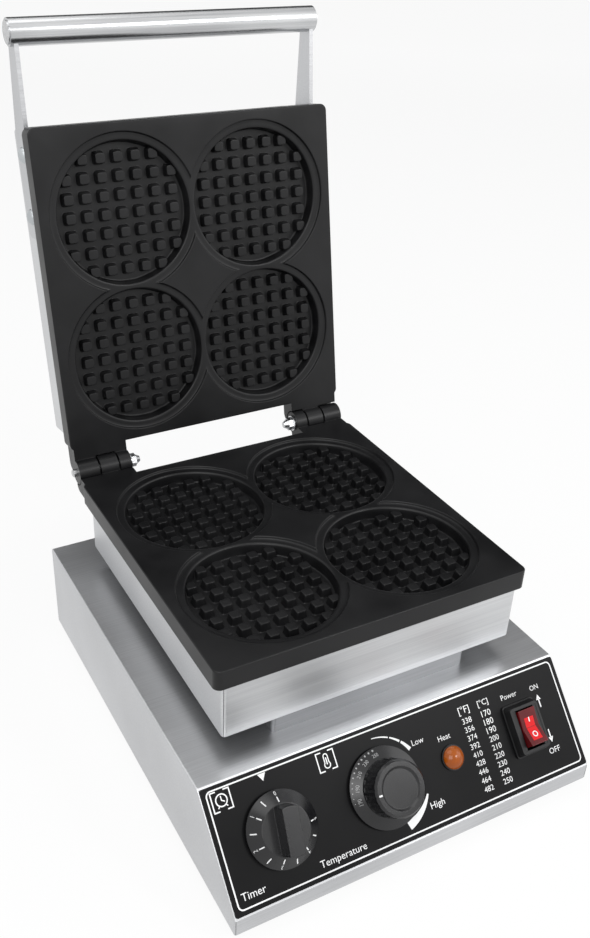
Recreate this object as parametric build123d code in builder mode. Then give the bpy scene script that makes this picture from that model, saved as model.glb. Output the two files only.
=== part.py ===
from build123d import *
from math import atan2, cos, degrees, hypot, radians, sin
import os

os.makedirs("parts", exist_ok=True)

# A countertop maker for four round waffles, lid open as it stands for unloading.
# Millimetres, +Z up, front to -Y. It is drawn about the middle of its base, and each piece
# is then moved so that the origin is on the table under the middle of the whole footprint.

# Base housing, of folded stainless sheet
base_w = 270
base_d = 324
foot_h = 9.2
cover_t = 0.8
lip_h = 14
base_h = 70
slope_run = 51.5
sheet = 1.0
flange = 14

# Cooking boxes and the neck that carries the lower one
neck_w = 148
neck_d = 190
neck_h = 13.3
neck_y = 6
box_w = 219
box_d = 225
box_h = 41.3
box_r = 3
cover_r = 2.5

# Cast plates: one casting, used twice
plate_w = 230
plate_d = 229
plate_t = 14
plate_r = 5
plate_gap = 0.8
spigot_t = 3
spigot_w = 214
spigot_d = 219

# Waffle cavities
cavity_pitch = 104
ledge_r = 56.3
ledge_drop = 2
cavity_top_r = 49.6
cavity_r = 48.4
cavity_depth = 10.4
boss_pitch = 13
boss_side = 8.6
boss_top_side = 7.4
boss_h = 5.8
boss_count = 7

# Hinges: each casting has a fork on one side and a single lug on the other
open_angle = 100.5
pin_d = 6
pin_clear = 0.05
knuckle_r = 9
cradle_r = 10
lug_gap = 0.7
lug_inner = (72, 81)
lug_middle = (82.4, 96.1)
lug_outer = (97.5, 113)

# Handle
bar_d = 18
bar_wall = 1.5
bar_half = 114.5
strap_t = 3

# Controls on the slanted panel, as places across and up the panel
panel_t = 1.0
panel_w = 268
timer_at = (-92, 38)
thermo_at = (-18, 37)
lamp_at = (35, 38)
switch_at = (94.5, 38)
shaft_d = 6
shaft_hole = 10
lamp_hole = 12
switch_hole = (22.3, 28.6)

# Places of feet and screws under the base, and of the cable gland in its back
foot_places = [(x, y) for x in (-106, 106) for y in (-132, 132)]
cover_screw_places = [(x, y) for x in (-128, 128) for y in (-120, -40, 40, 120)]
gland_at = (85, 34)
wire_slot_y = 10
block_at = (60, 110)

# Heights that follow
base_z = foot_h + cover_t
lip_z = base_z + lip_h
top_z = base_z + base_h
box_z = top_z + neck_h
plate_z = box_z + box_h
face_z = plate_z + plate_t
hinge_z = face_z + plate_gap / 2
lid_z = hinge_z + plate_gap / 2 + plate_t
lid_top_z = lid_z + box_h

# Places front to back that follow
front_y = -base_d / 2
slope_y = front_y + slope_run
back_y = base_d / 2
plate_y = 21
plate_back_y = plate_y + plate_d / 2
box_y = plate_y - 0.2
hinge_y = plate_back_y + 16.5
block_back_y = hinge_y + 1

# The panel's own plane: x across, y up the slope, z out of it
slope_rise = base_h - lip_h
slope_len = hypot(slope_run, slope_rise)
slope_deg = degrees(atan2(slope_rise, slope_run))
out_dir = (0, -sin(radians(slope_deg)), cos(radians(slope_deg)))
slope_foot = (0, front_y, lip_z)
panel_face = Plane(origin=slope_foot, x_dir=(1, 0, 0), z_dir=out_dir)

hinge_axis = Axis((0, hinge_y, hinge_z), (1, 0, 0))
flip_axis = Axis((0, 0, hinge_z), (0, 1, 0))

# The thermostat knob's drum reaches furthest to the front
drum_r = 16.2
drum_h = 22.2
knob_front_y = front_y + (thermo_at[1] - drum_r) * cos(radians(slope_deg)) - drum_h * sin(radians(slope_deg))

# The open lid's back edge reaches furthest to the rear
edge_y = box_y - box_d / 2 + cover_r - hinge_y
edge_z = lid_top_z - cover_r - hinge_z
lid_back_y = hinge_y + edge_y * cos(radians(open_angle)) + edge_z * sin(radians(open_angle)) + cover_r
middle_y = (knob_front_y + lid_back_y) / 2


def save(builder, name):
    builder.part = builder.part.moved(Location((0, -middle_y, 0)))
    builder.part.label = name
    export_step(builder.part, f"parts/{name}.step")


def swung_open(shape):
    """A lid piece is drawn with the lid shut, then turned to where the lid stands open."""
    return shape.rotate(hinge_axis, -open_angle)


# Base housing: one folded sheet with front lip, slope, top, back and sides, flanged below
seat_drop = panel_t / cos(radians(slope_deg))
seat_back = panel_t / sin(radians(slope_deg))
with BuildSketch(Plane.YZ) as side_view:
    with BuildLine():
        Polyline(
            (front_y, base_z),
            (front_y, lip_z - seat_drop),
            (slope_y + seat_back, top_z),
            (back_y, top_z),
            (back_y, base_z),
            close=True,
        )
    make_face()
side_inner = offset(side_view.sketch, amount=-sheet, kind=Kind.INTERSECTION)
with BuildPart() as base_housing:
    extrude(side_view.sketch, amount=base_w / 2, both=True)
    fillet(base_housing.edges().filter_by(Axis.X).group_by(Axis.Z)[-1], 1.2)
    fillet(base_housing.edges().filter_by(Axis.Z), 1.2)
    extrude(side_inner, amount=base_w / 2 - sheet, both=True, mode=Mode.SUBTRACT)
    with BuildSketch(Plane.XY.offset(base_z)):
        RectangleRounded(base_w - 2 * flange, base_d - 2 * flange, 8)
    extrude(amount=sheet, mode=Mode.SUBTRACT)
    with BuildSketch(panel_face.offset(-6)):
        with Locations(timer_at, thermo_at):
            Circle(shaft_hole / 2 + 1)
        with Locations(lamp_at):
            Circle(lamp_hole / 2 + 0.5)
        with Locations(switch_at):
            Rectangle(switch_hole[0] + 1, switch_hole[1] + 1)
    extrude(amount=8, mode=Mode.SUBTRACT)
    with BuildSketch(Plane.XY.offset(top_z - 4)):
        with Locations((0, wire_slot_y)):
            SlotOverall(70, 36)
    extrude(amount=8, mode=Mode.SUBTRACT)
    with BuildSketch(Plane.XZ.offset(-back_y - 4)):
        with Locations(gland_at):
            Circle(8.2)
    extrude(amount=12, mode=Mode.SUBTRACT)
    with BuildSketch(Plane.XY.offset(base_z)):
        with Locations(*cover_screw_places):
            Circle(1.7)
    extrude(amount=sheet, mode=Mode.SUBTRACT)
save(base_housing, "base_housing")

# Bottom cover: flat sheet with cooling slots, screwed to the housing's flange
with BuildPart() as bottom_cover:
    with BuildSketch(Plane.XY.offset(foot_h)):
        RectangleRounded(base_w - 3, base_d - 5, 2)
        with GridLocations(52, 9, 3, 9):
            Rectangle(38, 4, mode=Mode.SUBTRACT)
        with Locations(*foot_places):
            Circle(2.1, mode=Mode.SUBTRACT)
        with Locations(*cover_screw_places):
            Circle(1.75, mode=Mode.SUBTRACT)
    extrude(amount=cover_t)
save(bottom_cover, "bottom_cover")

with BuildPart() as cover_screws:
    with BuildSketch(Plane.XY.offset(foot_h - 1.6)):
        with Locations(*cover_screw_places):
            Circle(3)
    extrude(amount=1.6)
    with BuildSketch(Plane.XY.offset(foot_h)):
        with Locations(*cover_screw_places):
            Circle(1.65)
    extrude(amount=7)
save(cover_screws, "cover_screws")

# Feet: moulded rubber cones with a recess for the screw
with BuildPart() as rubber_feet:
    for x, y in foot_places:
        with BuildSketch(Plane(origin=(x, y, 0), x_dir=(1, 0, 0), z_dir=(0, -1, 0))):
            with BuildLine():
                Polyline(
                    (5.5, 0),
                    (9.5, 0),
                    (10.5, 1),
                    (12, foot_h),
                    (2.1, foot_h),
                    (2.1, 3.5),
                    (5.5, 3.5),
                    close=True,
                )
            make_face()
        revolve(axis=Axis((x, y, 0), (0, 0, 1)))
save(rubber_feet, "rubber_feet")

with BuildPart() as foot_screws:
    with BuildSketch(Plane.XY.offset(1.2)):
        with Locations(*foot_places):
            Circle(4)
    extrude(amount=2.3)
    with BuildSketch(Plane.XY.offset(3.5)):
        with Locations(*foot_places):
            Circle(2)
    extrude(amount=12.5)
    with BuildSketch(Plane.XY.offset(base_z)):
        with Locations(*foot_places):
            RegularPolygon(4, 6)
    extrude(amount=3)
save(foot_screws, "foot_screws")

# Control panel: printed black plate over the whole slope
with BuildPart() as control_panel:
    with BuildSketch(panel_face.offset(-panel_t)):
        with Locations((0, slope_len / 2)):
            RectangleRounded(panel_w, slope_len - 0.6, 1.5)
        with Locations(timer_at, thermo_at):
            Circle(shaft_hole / 2, mode=Mode.SUBTRACT)
        with Locations(lamp_at):
            Circle(lamp_hole / 2 + 0.1, mode=Mode.SUBTRACT)
        with Locations(switch_at):
            Rectangle(*switch_hole, mode=Mode.SUBTRACT)
    extrude(amount=panel_t)
save(control_panel, "control_panel")

# Neck: a low open-ended collar that holds the lower box above the base
with BuildPart() as neck:
    with BuildSketch(Plane.XY.offset(top_z)):
        with Locations((0, neck_y)):
            RectangleRounded(neck_w, neck_d, 3)
            RectangleRounded(neck_w - 3, neck_d - 3, 1.5, mode=Mode.SUBTRACT)
    extrude(amount=neck_h)
    with BuildSketch(Plane.XY.offset(top_z)):
        with Locations((0, neck_y)):
            Rectangle(neck_w - 2, neck_d - 2)
            Rectangle(neck_w - 30, neck_d - 30, mode=Mode.SUBTRACT)
    extrude(amount=1.5)
save(neck, "neck")

# Cooking boxes: deep welded trays of polished sheet
with BuildPart() as lower_box:
    with BuildSketch(Plane.XY.offset(box_z)):
        with Locations((0, box_y)):
            RectangleRounded(box_w, box_d, box_r)
    extrude(amount=box_h)
    fillet(lower_box.edges().group_by(Axis.Z)[0], 1.5)
    with BuildSketch(Plane.XY.offset(box_z + sheet)):
        with Locations((0, box_y)):
            RectangleRounded(box_w - 2 * sheet, box_d - 2 * sheet, box_r - sheet)
    extrude(amount=box_h, mode=Mode.SUBTRACT)
    with BuildSketch(Plane.XY.offset(box_z)):
        with Locations((0, wire_slot_y)):
            SlotOverall(60, 30)
    extrude(amount=sheet, mode=Mode.SUBTRACT)
save(lower_box, "lower_box")

with BuildPart() as lid_cover:
    with BuildSketch(Plane.XY.offset(lid_z)):
        with Locations((0, box_y)):
            RectangleRounded(box_w, box_d, box_r)
    extrude(amount=box_h)
    fillet(lid_cover.edges().group_by(Axis.Z)[-1], cover_r)
    with BuildSketch(Plane.XY.offset(lid_z)):
        with Locations((0, box_y)):
            RectangleRounded(box_w - 2 * sheet, box_d - 2 * sheet, box_r - sheet)
    extrude(amount=box_h - sheet, mode=Mode.SUBTRACT)
    with Locations(*[(side * box_w / 2, y, lid_z + 13.5) for side in (-1, 1) for y in (-75, -33)]):
        Cylinder(3.1, 6, rotation=(0, 90, 0), mode=Mode.SUBTRACT)
lid_cover.part = swung_open(lid_cover.part)
save(lid_cover, "lid_cover")


# Waffle plate casting, drawn as the lower one.
# On the left its hinge block carries one lug, on the right a fork of two.
def lug_spans(side):
    return [lug_middle] if side < 0 else [lug_inner, lug_outer]


def partner_spans(side):
    return [lug_inner, lug_outer] if side < 0 else [lug_middle]


def block_plane(side, span):
    return Plane(origin=(min(side * span[0], side * span[1]), 0, 0), x_dir=(0, 1, 0), z_dir=(1, 0, 0))


cavity_centres = [
    (x * cavity_pitch / 2, plate_y + y * cavity_pitch / 2) for x in (-1, 1) for y in (-1, 1)
]
bolt_places = [(0, plate_y - 101), (0, plate_y + 101), (-101, plate_y), (101, plate_y)]

with BuildPart() as lower_plate:
    with BuildSketch(Plane.XY.offset(plate_z)):
        with Locations((0, plate_y)):
            RectangleRounded(plate_w, plate_d, plate_r)
    extrude(amount=plate_t)
    fillet(lower_plate.edges().group_by(Axis.Z)[-1], 0.8)
    with BuildSketch(Plane.XY.offset(plate_z - spigot_t)):
        with Locations((0, plate_y)):
            RectangleRounded(spigot_w, spigot_d, 3)
    extrude(amount=spigot_t)
    for side in (-1, 1):
        block_w = lug_outer[1] - lug_inner[0]
        with BuildSketch(block_plane(side, (lug_inner[0], lug_outer[1]))):
            with BuildLine():
                Polyline((plate_back_y - 3, plate_z), (block_back_y - 6, plate_z))
                RadiusArc((block_back_y - 6, plate_z), (block_back_y, plate_z + 6), -6)
                Polyline(
                    (block_back_y, plate_z + 6),
                    (block_back_y, face_z),
                    (plate_back_y - 3, face_z),
                    (plate_back_y - 3, plate_z),
                )
            make_face()
        extrude(amount=block_w)
        for span in lug_spans(side):
            with BuildSketch(block_plane(side, span)):
                with Locations((hinge_y, hinge_z)):
                    Circle(knuckle_r)
            extrude(amount=span[1] - span[0])
        for span in partner_spans(side):
            cradle = (span[0] - lug_gap, span[1] + lug_gap)
            with BuildSketch(block_plane(side, cradle)):
                with Locations((hinge_y, hinge_z)):
                    Circle(cradle_r)
            extrude(amount=cradle[1] - cradle[0], mode=Mode.SUBTRACT)
        with BuildSketch(block_plane(side, (lug_inner[0] - 1, lug_outer[1] + 1))):
            with Locations((hinge_y, hinge_z)):
                Circle(pin_d / 2 + pin_clear)
        extrude(amount=block_w + 2, mode=Mode.SUBTRACT)
    # Sloped ledges, whose rings run into each other, then the round walls down to the floor
    for centre in cavity_centres:
        with BuildSketch(Plane.XY.offset(face_z)):
            with Locations(centre):
                Circle(ledge_r)
        with BuildSketch(Plane.XY.offset(face_z - ledge_drop)):
            with Locations(centre):
                Circle(cavity_top_r + 0.5)
        loft(mode=Mode.SUBTRACT)
        with BuildSketch(Plane.XY.offset(face_z - ledge_drop)):
            with Locations(centre):
                Circle(cavity_top_r)
        with BuildSketch(Plane.XY.offset(face_z - cavity_depth)):
            with Locations(centre):
                Circle(cavity_r)
        loft(mode=Mode.SUBTRACT)
    # Tapered bosses in seven rows, the outermost cut off by the round wall
    boss_taper = degrees(atan2((boss_side - boss_top_side) / 2, boss_h))
    for centre in cavity_centres:
        with BuildSketch(Plane.XY.offset(face_z - cavity_depth)):
            with Locations(centre):
                with GridLocations(boss_pitch, boss_pitch, boss_count, boss_count):
                    Rectangle(boss_side, boss_side)
                Circle(cavity_r - 0.6, mode=Mode.INTERSECT)
        extrude(amount=boss_h, taper=boss_taper)
    # Blind tapped holes for the heater clamp
    with BuildSketch(Plane.XY.offset(plate_z - spigot_t)):
        with Locations(*bolt_places):
            Circle(3)
    extrude(amount=9, mode=Mode.SUBTRACT)


def lid_twin(shape):
    """A piece of the lower half, turned over into the lid and swung open with it."""
    return swung_open(shape.rotate(flip_axis, 180))


with BuildPart() as lid_plate:
    add(lid_twin(lower_plate.part))
save(lower_plate, "lower_plate")
save(lid_plate, "lid_plate")

# Heater, clamp, insulation and bolts: one set under the lower plate, its twin behind the lid plate
heater_side = 7
heater_z = plate_z - spigot_t - heater_side / 2
clamp_t = 2
clamp_z = heater_z - heater_side / 2 - clamp_t
wool_z = box_z + sheet + 2
heater_route = [
    (-14, plate_y + 92),
    (-14, plate_y + 20),
    (-40, plate_y - 6),
    (-40, plate_y - 78),
    (-82, plate_y - 78),
    (-82, plate_y + 70),
]
with BuildPart() as lower_heater:
    for side in (-1, 1):
        with BuildLine(Plane.XY.offset(heater_z)) as heater_path:
            FilletPolyline(*[(side * x, y) for x, y in heater_route], radius=12)
        with BuildSketch(Plane(origin=heater_path.line @ 0, z_dir=heater_path.line % 0)):
            Rectangle(heater_side, heater_side)
        sweep(path=heater_path.line)
    with BuildSketch(Plane.XY.offset(heater_z)):
        with Locations((0, plate_y + 92)):
            SlotCenterToCenter(28, heater_side)
    extrude(amount=heater_side / 2, both=True)
    with BuildSketch(Plane.XY.offset(wool_z - 1)):
        with Locations((-82, plate_y + 66), (82, plate_y + 66)):
            Circle(3)
    extrude(amount=heater_z - wool_z + 1)

with BuildPart() as lower_clamp:
    with BuildSketch(Plane.XY.offset(clamp_z)):
        with Locations((0, plate_y)):
            RectangleRounded(208, 208, 6)
            with GridLocations(62, 62, 2, 2):
                Circle(17, mode=Mode.SUBTRACT)
        with Locations(*bolt_places):
            Circle(3.3, mode=Mode.SUBTRACT)
        with Locations((-82, plate_y + 66), (82, plate_y + 66)):
            Circle(5, mode=Mode.SUBTRACT)
    extrude(amount=clamp_t)

with BuildPart() as lower_wool:
    with BuildSketch(Plane.XY.offset(wool_z)):
        with Locations((0, box_y)):
            RectangleRounded(box_w - 14, box_d - 10, 4)
        with Locations((0, wire_slot_y)):
            SlotOverall(60, 30, mode=Mode.SUBTRACT)
        with Locations((-82, plate_y + 66), (82, plate_y + 66)):
            Circle(8, mode=Mode.SUBTRACT)
        with Locations(*bolt_places):
            Circle(8, mode=Mode.SUBTRACT)
    extrude(amount=clamp_z - wool_z)

with BuildPart() as lower_bolts:
    for place in bolt_places:
        with BuildSketch(Plane.XY.offset(clamp_z)):
            with Locations(place):
                Circle(3)
        extrude(amount=plate_z - clamp_z + 4)
        with BuildSketch(Plane.XY.offset(clamp_z - 4)):
            with Locations(place):
                RegularPolygon(5.8, 6)
        extrude(amount=4)
        with BuildSketch(Plane.XY.offset(clamp_z + clamp_t)):
            with Locations(place):
                Circle(5.5)
        extrude(amount=heater_side)

lower_set = {"heater": lower_heater, "clamp": lower_clamp, "wool": lower_wool, "bolts": lower_bolts}
for name, piece in lower_set.items():
    with BuildPart() as twin:
        add(lid_twin(piece.part))
    save(twin, f"lid_{name}")
    save(piece, f"lower_{name}")

# Hinge pins with a stud end outside and a domed nut inside
for side, name in ((-1, "hinge_pin_left"), (1, "hinge_pin_right")):
    with BuildPart() as hinge_pin:
        with BuildSketch(Plane(origin=(side * 66, hinge_y, hinge_z), x_dir=(0, 1, 0), z_dir=(side, 0, 0))):
            Circle(pin_d / 2)
        extrude(amount=50.5)
        chamfer(hinge_pin.edges().filter_by(GeomType.CIRCLE).sort_by(Axis.X)[0 if side < 0 else -1], 0.8)
    save(hinge_pin, name)

with BuildPart() as hinge_nuts:
    for side in (-1, 1):
        nut_foot = Plane(origin=(side * 71.8, hinge_y, hinge_z), x_dir=(0, 1, 0), z_dir=(-side, 0, 0))
        with BuildSketch(nut_foot):
            Circle(6.2)
        extrude(amount=1.2)
        with BuildSketch(nut_foot.offset(1.2)):
            RegularPolygon(5.2, 6)
        extrude(amount=4)
        with BuildSketch(nut_foot.offset(5.2)):
            Circle(4.3)
        with BuildSketch(nut_foot.offset(8.6)):
            Circle(2.4)
        loft()
        with BuildSketch(nut_foot):
            Circle(pin_d / 2)
        extrude(amount=5.8, mode=Mode.SUBTRACT)
save(hinge_nuts, "hinge_nuts")

# Handle: steel tube between two tapered straps on the lid's sides
bar_y = -153
bar_z = lid_z + 2.6
strap_root_y = -18
screw_z = lid_z + 13.5
strap_holes = [(y, screw_z) for y in (-75, -33)]
with BuildPart() as handle_bar:
    with BuildSketch(Plane.YZ):
        with Locations((bar_y, bar_z)):
            Circle(bar_d / 2)
            Circle(bar_d / 2 - bar_wall, mode=Mode.SUBTRACT)
    extrude(amount=bar_half, both=True)
handle_bar.part = swung_open(handle_bar.part)
save(handle_bar, "handle_bar")

with BuildPart() as handle_plugs:
    for side in (-1, 1):
        with BuildSketch(Plane(origin=(side * (bar_half + 1), 0, 0), x_dir=(0, 1, 0), z_dir=(1, 0, 0))):
            with Locations((bar_y, bar_z)):
                Circle(bar_d / 2 - bar_wall)
        extrude(amount=-side * 9)
handle_plugs.part = swung_open(handle_plugs.part)
save(handle_plugs, "handle_plugs")

for side, name in ((-1, "handle_strap_left"), (1, "handle_strap_right")):
    with BuildPart() as handle_strap:
        with BuildSketch(Plane(origin=(side * box_w / 2, 0, 0), x_dir=(0, 1, 0), z_dir=(1, 0, 0))):
            with BuildLine():
                Polyline(
                    (bar_y, bar_z - 6),
                    (plate_y - plate_d / 2 + 4, lid_z + 2),
                    (strap_root_y, lid_z + 2),
                    (strap_root_y, lid_z + 25),
                    (plate_y - plate_d / 2 + 6, lid_z + 25),
                    (bar_y, bar_z + 7),
                    close=True,
                )
            make_face()
            fillet(vertices().group_by(Axis.X)[-1], 5)
            with Locations(*strap_holes):
                Circle(3.1, mode=Mode.SUBTRACT)
            with Locations((bar_y, bar_z)):
                Circle(bar_d / 2, mode=Mode.SUBTRACT)
        extrude(amount=side * strap_t)
    handle_strap.part = swung_open(handle_strap.part)
    save(handle_strap, name)

with BuildPart() as handle_screws:
    for side in (-1, 1):
        for y, z in strap_holes:
            head = Plane(
                origin=(side * (box_w / 2 + strap_t), y, z), x_dir=(0, 1, 0), z_dir=(side, 0, 0)
            )
            with BuildSketch(Plane(origin=head.origin, x_dir=(0, 1, 0), z_dir=(0, 0, 1))):
                with BuildLine():
                    dome = ThreePointArc((0, -side * 3.2), (3.9, -side * 2.2), (5.6, 0))
                    Polyline(dome @ 1, (0, 0), dome @ 0)
                make_face()
            revolve(axis=Axis((head.origin.X, y, z), (1, 0, 0)))
            with BuildSketch(head):
                Circle(2.9)
            extrude(amount=-7.5)
            with BuildSketch(head.offset(-strap_t - sheet - 3)):
                RegularPolygon(5.4, 6)
            extrude(amount=3)
handle_screws.part = swung_open(handle_screws.part)
save(handle_screws, "handle_screws")


# Controls. A point on the panel, h millimetres out from its face.
def on_panel(place, h=0):
    return panel_face.from_local_coords((place[0], place[1], h))


def turning_axis(place):
    return Axis(on_panel(place), out_dir)


def radial_plane(place):
    down_dir = (0, -cos(radians(slope_deg)), -sin(radians(slope_deg)))
    return Plane(origin=on_panel(place), x_dir=(1, 0, 0), z_dir=down_dir)


def side_plane(place):
    up_dir = (0, cos(radians(slope_deg)), sin(radians(slope_deg)))
    return Plane(origin=on_panel(place), x_dir=up_dir, z_dir=(1, 0, 0))


shaft_in = 14
bush_d = 9.4
bush_out = 3.4
behind = -panel_t - sheet

for place, name in ((timer_at, "timer_shaft"), (thermo_at, "thermostat_shaft")):
    with BuildPart() as shaft:
        with BuildSketch(panel_face.offset(behind - 12)):
            with Locations(place):
                Circle(shaft_d / 2)
        extrude(amount=shaft_in + 12 - behind)
        with BuildSketch(panel_face.offset(6)):
            with Locations((place[0], place[1] + 3.5)):
                Rectangle(8, 4)
        extrude(amount=20, mode=Mode.SUBTRACT)
    save(shaft, name)

# Timer knob: conical skirt with a straight bar grip across it
grip_turn = -7
with BuildPart() as timer_knob:
    with BuildSketch(radial_plane(timer_at)):
        with BuildLine():
            Polyline(
                (12, 1.2),
                (22.7, 1.2),
                (23.3, 1.8),
                (23.3, 3),
                (15.6, 9.5),
                (0, 9.5),
                (0, 5),
                (12, 5),
                close=True,
            )
        make_face()
    revolve(axis=turning_axis(timer_at))
    with BuildSketch(panel_face.offset(9.5)):
        with Locations(Location(timer_at, grip_turn)):
            Circle(15.2)
            Rectangle(11.5, 40, mode=Mode.INTERSECT)
    extrude(amount=11.5, taper=4)
    with BuildSketch(panel_face.offset(4)):
        with Locations(timer_at):
            Circle(shaft_d / 2)
    extrude(amount=shaft_in - 4, mode=Mode.SUBTRACT)
    with BuildSketch(panel_face.offset(6)):
        with Locations((timer_at[0], timer_at[1] + 2.25)):
            Rectangle(4, 1.4)
    extrude(amount=shaft_in - 6)
save(timer_knob, "timer_knob")

# Thermostat knob: flat dial ring, tall drum with finger flutes and a dished face
with BuildPart() as thermostat_knob:
    with BuildSketch(radial_plane(thermo_at)):
        with BuildLine():
            Polyline(
                (12, 1.2),
                (25, 1.2),
                (25.6, 1.8),
                (25.6, 2.6),
                (18.2, 6),
                (17.6, 20.6),
                (drum_r, drum_h),
                (13.4, drum_h),
                (12, 21),
                (0, 21),
                (0, 5),
                (12, 5),
                close=True,
            )
        make_face()
    revolve(axis=turning_axis(thermo_at))
    with BuildSketch(panel_face.offset(7.5)):
        with Locations(thermo_at):
            with PolarLocations(19.6, 24):
                Circle(2.2)
    extrude(amount=16, mode=Mode.SUBTRACT)
    with BuildSketch(panel_face.offset(4)):
        with Locations(thermo_at):
            Circle(shaft_d / 2)
    extrude(amount=shaft_in - 4, mode=Mode.SUBTRACT)
    with BuildSketch(panel_face.offset(6)):
        with Locations((thermo_at[0], thermo_at[1] + 2.25)):
            Rectangle(4, 1.4)
    extrude(amount=shaft_in - 6)
save(thermostat_knob, "thermostat_knob")

with BuildPart() as bush_nuts:
    for place in (timer_at, thermo_at):
        with BuildSketch(panel_face):
            with Locations(place):
                RegularPolygon(8, 6)
                Circle(bush_d / 2, mode=Mode.SUBTRACT)
        extrude(amount=2.4)
save(bush_nuts, "bush_nuts")

# Clockwork timer behind the panel
with BuildPart() as timer_body:
    with BuildSketch(panel_face.offset(behind)):
        with Locations(timer_at):
            RectangleRounded(50, 50, 8)
    extrude(amount=-3)
    with BuildSketch(panel_face.offset(behind - 3)):
        with Locations(timer_at):
            Circle(23)
    extrude(amount=-26)
    with BuildSketch(panel_face.offset(behind)):
        with Locations(timer_at):
            Circle(bush_d / 2)
    extrude(amount=bush_out - behind)
    with BuildSketch(panel_face.offset(behind - 29)):
        with Locations(timer_at):
            with GridLocations(14, 0, 2, 1):
                Rectangle(0.8, 6.3)
    extrude(amount=-8)
    with BuildSketch(panel_face.offset(behind - 13)):
        with Locations(timer_at):
            Circle(shaft_d / 2 + pin_clear)
    extrude(amount=20, mode=Mode.SUBTRACT)
save(timer_body, "timer_body")

# Capillary thermostat behind the panel
with BuildPart() as thermostat_body:
    with BuildSketch(panel_face.offset(behind)):
        with Locations(thermo_at):
            RectangleRounded(44, 36, 3)
    extrude(amount=-4)
    with BuildSketch(panel_face.offset(behind - 4)):
        with Locations(thermo_at):
            RectangleRounded(38, 34, 2)
    extrude(amount=-22)
    with BuildSketch(panel_face.offset(behind)):
        with Locations(thermo_at):
            Circle(bush_d / 2)
    extrude(amount=bush_out - behind)
    with BuildSketch(panel_face.offset(behind - 26)):
        with Locations((thermo_at[0] + 8, thermo_at[1])):
            with GridLocations(10, 16, 2, 2):
                Rectangle(6.3, 0.8)
    extrude(amount=-8)
    with BuildSketch(panel_face.offset(behind - 13)):
        with Locations(thermo_at):
            Circle(shaft_d / 2 + pin_clear)
    extrude(amount=20, mode=Mode.SUBTRACT)
save(thermostat_body, "thermostat_body")

# Sensing bulb held under the lower plate, and the fine tube that joins it to the thermostat
bulb_y = plate_y + 40
bulb_r = 3
bulb_z = plate_z - spigot_t - bulb_r
bulb_len = 80
tube_start = on_panel((thermo_at[0] - 12, thermo_at[1]), behind - 26)
with BuildPart() as thermostat_bulb:
    with BuildSketch(Plane.XZ.offset(-bulb_y)):
        with Locations((0, bulb_z)):
            Circle(bulb_r)
    extrude(amount=bulb_len)
save(thermostat_bulb, "thermostat_bulb")

with BuildPart() as capillary_tube:
    with BuildLine() as tube_path:
        Spline(
            tube_start,
            (-26, -90, 24),
            (14, -28, 34),
            (22, 6, 60),
            (22, 7, box_z),
            (22, 5, clamp_z - 8),
            (19, -9, clamp_z + 3),
            (9, -27, bulb_z),
            (0, bulb_y - bulb_len, bulb_z),
            tangents=[(0, -out_dir[1], -out_dir[2]), (0, 1, 0)],
        )
    with BuildSketch(Plane(origin=tube_path.line @ 0, z_dir=tube_path.line % 0)):
        Circle(1)
    sweep(path=tube_path.line)
save(capillary_tube, "capillary_tube")

# Pilot lamp and its domed lens
with BuildPart() as pilot_lamp:
    with BuildSketch(panel_face):
        with Locations(lamp_at):
            Circle(8.2)
    extrude(amount=1.2)
    with BuildSketch(panel_face):
        with Locations(lamp_at):
            Circle(lamp_hole / 2)
    extrude(amount=-24)
    with BuildSketch(panel_face.offset(-24)):
        with Locations(lamp_at):
            with GridLocations(6, 0, 2, 1):
                Rectangle(0.8, 4.8)
    extrude(amount=-8)
save(pilot_lamp, "pilot_lamp")

lens_r = 7.4
lens_top = 6.2
lens_dome_r = (lens_r**2 + (lens_top - 2.2) ** 2) / (2 * (lens_top - 2.2))
with BuildPart() as lamp_lens:
    with BuildSketch(radial_plane(lamp_at)):
        with BuildLine():
            Polyline((0, lens_top), (0, 1.2), (lens_r, 1.2), (lens_r, 2.2))
            RadiusArc((lens_r, 2.2), (0, lens_top), -lens_dome_r)
        make_face()
    revolve(axis=turning_axis(lamp_at))
save(lamp_lens, "lamp_lens")

# Rocker switch: a collar standing proud of the panel, and the rocker on its pivot
collar_h = 7.5
pivot_h = 5
rocker_w = 18.6
rocker_r = 13
rocker_tilt = 10
with BuildPart() as switch_frame:
    with BuildSketch(panel_face):
        with Locations(switch_at):
            RectangleRounded(26, 35, 2)
    extrude(amount=1.6)
    with BuildSketch(panel_face.offset(1.6)):
        with Locations(switch_at):
            RectangleRounded(25, 34, 2)
    with BuildSketch(panel_face.offset(collar_h)):
        with Locations(switch_at):
            RectangleRounded(22.6, 31, 2)
    loft()
    with BuildSketch(panel_face):
        with Locations(switch_at):
            Rectangle(switch_hole[0] - 0.2, switch_hole[1] - 0.2)
    extrude(amount=-26)
    with BuildSketch(panel_face.offset(-12)):
        with Locations(switch_at):
            Rectangle(rocker_w + 0.8, 2 * rocker_r + 0.8)
    extrude(amount=30, mode=Mode.SUBTRACT)
    with BuildSketch(panel_face.offset(-26)):
        with Locations(switch_at):
            with GridLocations(11, 9, 2, 2):
                Rectangle(6.3, 0.8)
    extrude(amount=-8)
save(switch_frame, "switch_frame")

with BuildPart() as switch_rocker:
    with BuildSketch(side_plane(switch_at)):
        with Locations((0, pivot_h)):
            Circle(rocker_r)
        with BuildLine():
            Polyline((0, 8.6), (14, 12.4), (14, 20), (-14, 20), (-14, 12.4), (0, 8.6))
        make_face(mode=Mode.SUBTRACT)
        with Locations((0, -10)):
            Rectangle(40, 20, mode=Mode.SUBTRACT)
    extrude(amount=rocker_w / 2, both=True)
rocker_axis = Axis(on_panel(switch_at, pivot_h), (1, 0, 0))
switch_rocker.part = switch_rocker.part.rotate(rocker_axis, -rocker_tilt)
save(switch_rocker, "switch_rocker")

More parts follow.
